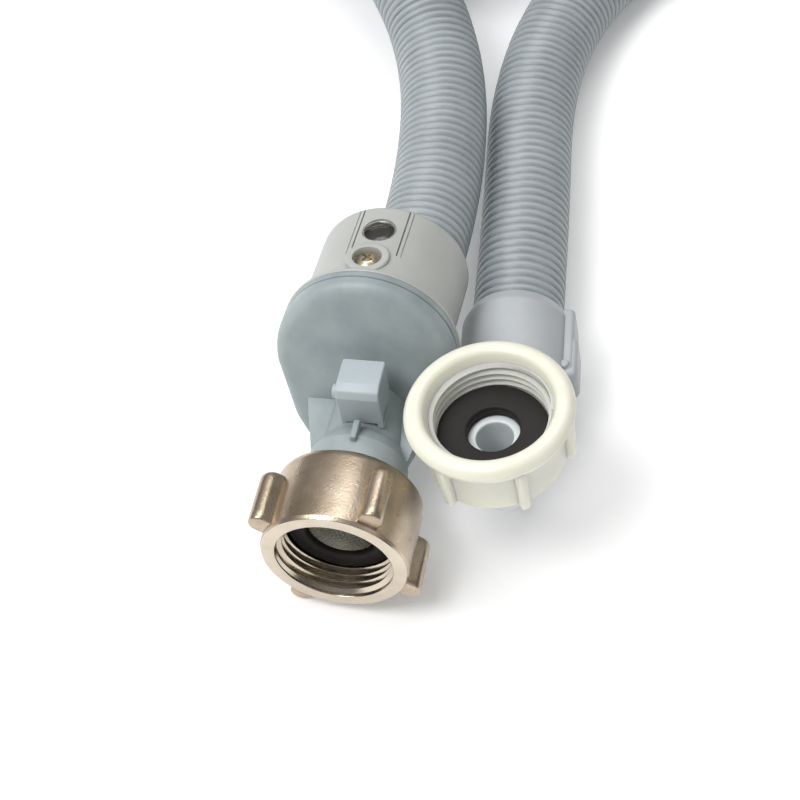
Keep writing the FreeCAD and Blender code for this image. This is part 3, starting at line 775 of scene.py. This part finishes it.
def egg_row(inset, along, lean=0.0, towards_drum=0.0, drum_radius=DRUM_RADIUS):
    """One row round the casing, in its own frame. lean tips the row back with height."""
    row = []
    for radius, angle, normal in zip(EGG_RADII, ANGLES, EGG_NORMALS):
        x = radius * math.cos(angle) - normal.x * inset
        z = radius * math.sin(angle) - normal.y * inset
        x += (drum_radius * math.cos(angle) - x) * towards_drum
        z += (drum_radius * math.sin(angle) - z) * towards_drum
        row.append((x, along + lean * z, z))
    return row


# %% [markdown]
# The front cover is a shallow dish. Its flat face leans back, and a generous rounding joins the face to
# the rim. The neck, its side webs and a small rib are part of the same moulding.

# %% Front cover
SEAM, FACE, LEAN, EDGE_ROUND = 4.6, -4.2, 0.169, 3.0
rows = []
for step in range(9):
    angle = math.radians(90 * step / 8)
    inset = EDGE_ROUND * (1 - math.sin(angle))
    share = 1 - math.cos(angle)
    rows.append(egg_row(inset, FACE + EDGE_ROUND * share, LEAN * (1 - 0.35 * share)))
RIM_ROWS = [
    (0.0, 2.1, 0.02),
    (0.04, 2.4),
    (0.42, 2.55),
    (0.42, 2.9),
    (0.1, 3.05),
    (0.1, SEAM - 0.1),
    (WALL, SEAM - 0.1),
    (WALL, 1.6, LEAN * 0.3),
    (WALL + 0.7, FACE + WALL, LEAN),
]
rows += [egg_row(*rim_row) for rim_row in RIM_ROWS]
dish = skinned(rows, closed=False)
piece("front_cover_shell", dish, casing_frame, cover_grey, stands_for=["front_cover"])

# %% [markdown]
# The neck is turned. Each of its two side webs is one outline at four heights, drawn in a little at the
# bottom and the top so that its edges come out soft. The upper two heights rise towards the casing.

# %% Neck
WEB_LAYERS = [(0.35, -0.75, 0), (0.0, -0.4, 0), (0.0, 0.9, 0.22), (0.35, 1.25, 0.22)]
WEB_SLOPE_FROM = 26
neck_parts = [
    lathe(
        [
            (9.5, 20.0, 0.1),
            (11.0, 20.0, 0.4),
            (11.2, 26.2, 1.2),
            (9.0, 30.4, 3.0),
            (8.9, 39.0, 2.0),
            (10.4, 44.5, 0),
            (5.2, 44.5, 0),
            (5.2, 34, 0),
            (9.5, 26.4, 0),
        ]
    ),
    brick((0.0, 24.4, 8.0), (1.4, 29.4, 12.6), 0.35),
]
for side in (-1, 1):
    web = [
        (side * 7.0, 24.6, 0.5),
        (side * 10.9, 26.6, 0.8),
        (side * 12.2, 31.6, 2.0),
        (side * 15.3, 43.6, 0.3),
        (side * 7.0, 43.6, 0.3),
    ]
    outline = rounded(web)
    if side > 0:
        outline.reverse()
    middle = sum(outline, Vector((0, 0))) / len(outline)
    web_rows = []
    for inset, height, slope in WEB_LAYERS:
        web_rows.append(
            [(*p.lerp(middle, inset / 5), height + slope * (p.y - WEB_SLOPE_FROM)) for p in outline]
        )
    neck_parts.append(skinned(web_rows, closed=False))
piece("front_cover_neck", merged(*neck_parts), valve_frame, cover_grey)

# %% [markdown]
# The lock lever is a small block on a pin. Its top is flat, its front edge is well rounded, and it
# straddles the neck. Its side view is drawn once and swept across, with a narrow bevel near each end.

# %% Lock lever
LEVER_SIDE, LEVER_HALF = 1.0, 4.8
LEVER_BEVEL = [(0.0, 0.06), (0.18, 0.015), (0.4, 0.0)]
lever_side = rounded(
    [
        (31.0, 9.15, 0.4),
        (30.6, 17.6, 0.6),
        (31.4, 19.4, 1.0),
        (33.4, 20.1, 1.2),
        (40.3, 20.0, 0.5),
        (39.3, 12.0, 0.6),
        (36.5, 9.15, 1.2),
    ]
)
side_middle = sum(lever_side, Vector((0, 0))) / len(lever_side)
stations = [(depth - LEVER_HALF, inset) for depth, inset in LEVER_BEVEL]
stations += [(LEVER_HALF - depth, inset) for depth, inset in reversed(LEVER_BEVEL)]
lever_rows = []
for x, inset in stations:
    lever_rows.append([(LEVER_SIDE + x, *p.lerp(side_middle, inset)) for p in lever_side])
lever_shape = skinned(lever_rows, closed=False)
CHEEK = 1.4
cheeks = []
for x in (LEVER_SIDE - LEVER_HALF, LEVER_SIDE + LEVER_HALF - CHEEK):
    cheeks.append(brick((x, 31.0, 7.7), (x + CHEEK, 36.2, 11.0), 0.3))
piece(
    "lock_lever_block",
    merged(lever_shape, *cheeks),
    valve_frame,
    lever_grey,
    body="lever",
    stands_for=["lock_lever"],
)
pin = lathe([(0, -5.2, 0), (1.7, -5.2, 0.5), (1.7, 5.6, 0.3), (0, 5.6, 0)], segments=48)
pin_frame = valve_frame @ moved(0, 34.0, 16.0) @ turned(-90, "Z")
piece("lever_hinge_pin", pin, pin_frame, lever_grey, stands_for=["lever_pin"])

# %% [markdown]
# The rear casing starts as the egg and flows into a round drum. Fine grooves frame the sight window, two
# on each side. Its openings are cut through the wall, so what lies behind the window really lies inside.
# The hose leaves through a round hole at the back, to one side of the middle.

# %% Rear casing
DRUM_BACK, BACK_ROUND = 31.5, 1.8
EXIT_SIDE, EXIT_RADIUS = 4.5, 11.2
BLEND_START, BLEND_LENGTH = SEAM + 0.8, 2.4
WINDOW_BACK, WINDOW_SIDE, WINDOW_RADIUS = 22.4, -0.3, 3.95
SCREW_BACK, SCREW_SIDE, SCREW_HOLE = 12.6, -0.8, 3.35
GROOVES = (-6.3, -5.3, 5.3, 6.3)
GROOVE_HALF, GROOVE_FLOOR = 0.16, 16.1
rows = [
    egg_row(WALL, SEAM + 0.1),
    egg_row(0.15, SEAM + 0.1),
    egg_row(0.0, SEAM + 0.3),
    egg_row(0.0, BLEND_START),
]
for step in range(1, 9):
    share = step / 8
    eased = share * share * (3 - 2 * share)
    rows.append(egg_row(0.0, BLEND_START + BLEND_LENGTH * share, 0.0, eased))
rows.append(egg_row(0, 20, 0, 1.0))
for step in range(7):
    angle = math.radians(90 * step / 6)
    reduced = DRUM_RADIUS - BACK_ROUND * (1 - math.cos(angle))
    rows.append(egg_row(0, DRUM_BACK - BACK_ROUND * (1 - math.sin(angle)), 0, 1.0, reduced))
for along in (DRUM_BACK, DRUM_BACK - WALL):
    circle = [(EXIT_RADIUS * math.cos(angle), EXIT_RADIUS * math.sin(angle)) for angle in ANGLES]
    rows.append([(EXIT_SIDE + x, along, z) for x, z in circle])
rows.append(egg_row(0, DRUM_BACK - WALL, 0, 1.0, DRUM_RADIUS - WALL))
rows.append(egg_row(0, 12, 0, 1.0, DRUM_RADIUS - WALL))
rows.append(egg_row(WALL, SEAM + 4, 0, 0.3, DRUM_RADIUS - WALL))
casing = piece(
    "rear_casing_shell",
    skinned(rows),
    casing_frame,
    casing_grey,
    stands_for=["rear_casing"],
)
cuts = [brick((x - GROOVE_HALF, 14.6, GROOVE_FLOOR), (x + GROOVE_HALF, 33, 22), 0) for x in GROOVES]
cuts.append(upright((WINDOW_SIDE, WINDOW_BACK), WINDOW_RADIUS, 12, 24))
cuts.append(upright((SCREW_SIDE, SCREW_BACK), SCREW_HOLE, 16.2, 24))
carve(casing, *[in_place(cut, casing_frame) for cut in cuts])

# %% [markdown]
# Three turned pieces stand on the drum's top: a boss round the screw, a thin lip round the window, and
# the lens in it. Each is drawn with its axis along Y from the top down, so one helper stands it up.
# Inside the casing a tray lies under the red flag's path. It is what shows through the lens while the
# flag is away.

# %% Boss and window


def standing(side, back, top):
    """The frame of a turned piece that stands on the drum, with its first end up at top."""
    return casing_frame @ moved(side, back, top) @ turned(-90, "X")


boss = lathe([(3.3, 0, 0.25), (5.0, 0, 0.5), (5.2, 3.0, 0), (3.3, 3.0, 0)], segments=72)
piece("screw_boss", boss, standing(SCREW_SIDE, SCREW_BACK, 17.9), casing_grey)
window_frame = standing(WINDOW_SIDE, WINDOW_BACK, 17.05)
window_lip = lathe([(3.45, 0, 0.1), (3.98, 0, 0.2), (3.98, 2.6, 0), (3.45, 2.6, 0)], segments=72)
piece("window_lip", window_lip, window_frame, stainless)
tray = brick((-4.6, 17.4, 8.3), (4.6, 27.4, 10.4), 0.4)
piece("window_tray", tray, casing_frame, tray_brown)
lens = lathe([(0, 0.1, 0), (1.8, 0.25, 0.8), (3.4, 0.75, 0.2), (3.4, 2.3, 0.1), (0, 2.3, 0)], segments=72)
piece("sight_lens", lens, window_frame, smoky_lens, stands_for=["sight_window"])

# %% [markdown]
# The screw has a domed head with a cross recess. The recess is two crossed slots, cut straight down.

# %% Casing screw
CROSS_TURN = 35
SHANK_END = 5
head = lathe(
    [
        (0, 0, 0),
        (1.6, 0.12, 0.6),
        (2.95, 0.95, 0.35),
        (2.8, 1.5, 0.1),
        (1.4, 1.6, 0),
        (1.4, SHANK_END, 0),
        (0, SHANK_END, 0),
    ],
    segments=72,
)
head_frame = standing(SCREW_SIDE, SCREW_BACK, 17.6)
screw = piece("cross_screw", head, head_frame, zinc_yellow, stands_for=["casing_screw"])
slots = []
for degrees in (CROSS_TURN, CROSS_TURN + 90):
    slot_shape = brick((-1.55, -0.6, -0.28), (1.55, 0.95, 0.28), 0.08)
    slots.append(in_place(slot_shape, head_frame @ turned(degrees, "Y")))
carve(screw, *slots)

# %% [markdown]
# ## The outlet elbow
# The hose ends in a moulded cuff with a latch on one side. A right-angle elbow comes out of it and turns
# up, and carries the white nut.

# %% Cuff
cuff = lathe(
    [
        (8.5, 19.0, 0.2),
        (12.5, 19.0, 0.7),
        (13.05, 24.0, 3.0),
        (13.05, 46.6, 1.5),
        (11.7, 50.0, 0.5),
        (10.2, 50.0, 0.2),
        (10.2, 23.5, 0.2),
        (8.5, 23.5, 0.2),
    ]
)
latch = brick((10.6, 29.6, -4.8), (15.1, 41.0, 4.8), 1.3)
latch_rib = brick((10.2, 30.8, -5.2), (14.2, 49.4, 5.2), 1.2)
latch_knob = lathe([(0, -0.7, 0), (1.1, -0.7, 0.5), (1.1, 2.0, 0), (0, 2.0, 0)], segments=36)
transformed(latch_knob, Matrix.Translation((12.2, 32.2, 5.3)) @ turned(-90, "X"))
cuff_piece = piece(
    "elbow_cuff_moulding",
    merged(cuff, latch, latch_rib, latch_knob),
    elbow_frame,
    cuff_grey,
    stands_for=["elbow_cuff"],
)

# %% [markdown]
# The elbow is a pipe that turns through a quarter circle. It ends in a flange that holds the white nut
# on, and a low ring round the bore keeps the washer in the middle.

# %% Elbow


def ring(middle, side, up, radius, count):
    """Points evenly round a circle that side and up span."""
    turns = [math.tau * step / count for step in range(count)]
    return [middle + radius * (math.cos(angle) * side + math.sin(angle) * up) for angle in turns]


def tube_round(path, outside, inside, around=48):
    """A pipe along a flat path in the YZ plane, with a bore."""
    rows_out, rows_in = [], []
    for index, (y, z) in enumerate(path):
        after = Vector((0, *path[min(index + 1, len(path) - 1)]))
        before = Vector((0, *path[max(index - 1, 0)]))
        up = Vector((1, 0, 0)).cross((after - before).normalized())
        for rows_here, radius in ((rows_out, outside), (rows_in, inside)):
            rows_here.append(ring(Vector((0, y, z)), Vector((1, 0, 0)), up, radius, around))
    return skinned(rows_out + rows_in[::-1])


BEND, PIPE_RADIUS, BORE = 9.0, 7.4, 4.1
bend = [(22.5, 0.0), (14, 0.0), (BEND, 0.0)]
for degrees in range(10, 90, 10):
    angle = math.radians(degrees)
    bend.append((BEND - BEND * math.sin(angle), BEND - BEND * math.cos(angle)))
bend += [(0.0, BEND), (0.0, 14.0), (0.0, 18.3)]
pipe = tube_round(bend, PIPE_RADIUS, BORE)
flange = lathe(
    [
        (BORE, 18.1, 0.2),
        (11.6, 18.1, 0.4),
        (11.6, 20.45, 0.3),
        (6.5, 20.45, 0.2),
        (5.7, 20.9, 0.3),
        (BORE, 20.9, 0.4),
    ]
)
transformed(flange, turned(90, "X"))
elbow_piece = piece(
    "elbow_pipe",
    merged(pipe, flange),
    elbow_frame,
    elbow_grey,
    stands_for=["elbow_body"],
)

# %% [markdown]
# The white nut is moulded in nylon. Light goes a little way into it, so its colour is soft. Its mouth is
# one fat rounded ring, and six wings under the ring give the grip. Each wing draws in towards the back.
# The black washer in it has a thin lip inside its hole.

# %% White nut
nut_shape = lathe(
    [
        (13.1, 3.4, 1.2),
        (14.5, 0.0, 1.8),
        (17.3, 0.15, 2.0),
        (18.5, 2.3, 1.3),
        (17.6, 4.4, 1.0),
        (15.5, 5.2, 0.8),
        (15.3, 16.6, 0.8),
        (14.6, 17.2, 0.5),
        (7.6, 17.2, 0.3),
        (7.6, 14.7, 0.2),
        (13.1, 14.7, 0.2),
    ],
    segments=192,
    steps=6,
)
FIRST_WING, WING_TAPER = 5, 0.055
white_parts = [nut_shape, thread(13.12, 12.3, 3.3, 11.4, flank=0.3)]
for sixth in range(6):
    wing = brick((14.4, 3.6, -1.15), (17.85, 17.1, 1.15), 0.75)
    for vertex in wing.verts:
        if vertex.co.x > 16:
            vertex.co.x -= WING_TAPER * (vertex.co.y - 4)
    white_parts.append(transformed(wing, turned(FIRST_WING + 60 * sixth, "Y")))
white_nut = piece(
    "white_nut",
    merged(*white_parts),
    mouth_frame,
    nut_white,
    body="outlet_coupling",
    stands_for=["outlet_nut"],
)
flat_washer = lathe([(5.85, 8.9, 0.4), (11.9, 8.9, 0.35), (11.9, 12.1, 0.3), (5.85, 12.1, 0.5)])
washer_lip = lathe([(5.65, 9.9, 0.2), (6.1, 9.9, 0.2), (6.1, 10.7, 0.2), (5.65, 10.7, 0.2)])
washer_piece = piece(
    "flat_washer",
    merged(flat_washer, washer_lip),
    mouth_frame,
    washer_black,
    stands_for=["outlet_washer"],
)

# %% [markdown]
# ## The corrugated sheath
# The sheath is a ring-shaped wave, repeated every 2.5 mm. Four rows of points a wave give a broad crest
# and a narrow groove. The rows are carried along the line with a frame that never twists.

# %% Sheath
CREST, GROOVE, PITCH, SIDES = 10.9, 9.8, 2.5, 36
WAVE = [(0.0, CREST), (0.56, CREST), (0.70, GROOVE), (0.85, GROOVE)]
reaches = [0.0]
for a, b in zip(line, line[1:]):
    reaches.append(reaches[-1] + (b - a).length)
waves = int(hose_length / (PITCH * MM))
pitch = hose_length / waves
rows = []
place_index = 0
up = Vector((0, 0, 1))
for wave in range(waves):
    for share, radius in WAVE:
        distance = (wave + share) * pitch
        while place_index < len(reaches) - 2 and reaches[place_index + 1] < distance:
            place_index += 1
        span = reaches[place_index + 1] - reaches[place_index]
        part = (distance - reaches[place_index]) / span
        spot = line[place_index].lerp(line[place_index + 1], part)
        back = line[max(0, place_index - 1)]
        front = line[min(len(line) - 1, place_index + 2)]
        ahead = (front - back).normalized()
        side = ahead.cross(up).normalized()
        up = side.cross(ahead).normalized()
        rows.append(ring(spot / MM, side, up, radius, SIDES))
sheath = piece(
    "corrugated_sheath",
    skinned(rows, closed=False),
    Matrix(),
    sheath_grey,
    stands_for=["hose_valve_run", "hose_outlet_run", "hose_coil"],
    sharp=80,
)
print("sheath:", waves, "waves")

# %% [markdown]
# The pieces that hardly show, such as those inside the casing and the cuff, are plain enough in the solid
# model. They keep their solid shape and only get finishes.

# %% Finishes for the pieces that keep their solid shape
KEPT = {
    "inlet_tailpiece": inner_dark,
    "tailpiece_o_ring": washer_black,
    "lever_spring": stainless,
    "valve_body": inner_white,
    "poppet": inner_white,
    "poppet_seal": washer_black,
    "closing_spring": stainless,
    "tablet_holder": inner_white,
    "swelling_tablet": tablet_cream,
    "trigger_pin": inner_white,
    "indicator_flag": flag_red,
    "inner_hose_valve_end": hose_black,
    "valve_end_ferrule": stainless,
    "inner_hose_elbow_end": hose_black,
    "elbow_end_ferrule": stainless,
}
for node_name, finish in KEPT.items():
    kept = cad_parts[node_name]
    for material_slot in kept.material_slots:
        material_slot.material = finish
print("solid pieces with a finish:", len(KEPT))

# %% [markdown]

# %% [markdown]
# ## Studio
# A pale floor, a pale surround and three large soft lights. The metal needs something to reflect, so the
# surround is brighter overhead than at the horizon, and brighter on the left than on the right.

# %% Floor and lights
floor_mesh = bpy.data.meshes.new("floor")
floor_shape = bmesh.new()
bmesh.ops.create_grid(floor_shape, x_segments=1, y_segments=1, size=6)
floor_shape.to_mesh(floor_mesh)
floor_shape.free()
floor = placed("floor", floor_mesh)
floor_paint, _, floor_shader = bare_material("floor_paint")
floor_shader.inputs["Base Color"].default_value = (0.95, 0.95, 0.95, 1)
floor_shader.inputs["Emission Color"].default_value = (1, 1, 1, 1)
floor_shader.inputs["Emission Strength"].default_value = 0.16
floor_shader.inputs["Roughness"].default_value = 0.7
floor_mesh.materials.append(floor_paint)


def soft_light(name, spot, aim, size, power):
    """A white rectangular light at spot that faces aim."""
    data = bpy.data.lights.new(name, "AREA")
    data.shape = "RECTANGLE"
    data.size, data.size_y = size
    data.energy = power
    lamp = placed(name, data)
    lamp.location = spot
    lamp.rotation_euler = (Vector(aim) - Vector(spot)).to_track_quat("-Z", "Y").to_euler()


soft_light("key", spot=(-0.45, -0.35, 0.95), aim=(0, 0.02, 0), size=(0.5, 0.5), power=7.4)
soft_light("fill", spot=(0.75, -0.45, 0.6), aim=(0, 0.0, 0), size=(0.7, 0.5), power=0.8)
soft_light("top", spot=(-0.12, 0.35, 1.1), aim=(0, 0.05, 0), size=(0.9, 0.5), power=4.2)

# %% Surround
world = bpy.data.worlds.new("surround")
bpy.context.scene.world = world
world.use_nodes = True
sky = world.node_tree
where = add(sky, "TexCoord")
parts = add(sky, "SeparateXYZ")
ramp = add(sky, "MapRange", _From_Min=-0.05, _From_Max=0.7, _To_Min=0.12, _To_Max=1.0)
sides = add(sky, "MapRange", _From_Min=-0.1, _From_Max=0.7, _To_Min=1.0, _To_Max=0.3)
shade = add(sky, "Math", operation="MULTIPLY")
background = sky.nodes["Background"]
sky.links.new(where.outputs["Generated"], parts.inputs["Vector"])
sky.links.new(parts.outputs["Z"], ramp.inputs["Value"])
sky.links.new(parts.outputs["X"], sides.inputs["Value"])
sky.links.new(ramp.outputs["Result"], shade.inputs[0])
sky.links.new(sides.outputs["Result"], shade.inputs[1])
sky.links.new(shade.outputs[0], background.inputs["Color"])
background.inputs["Strength"].default_value = 0.62
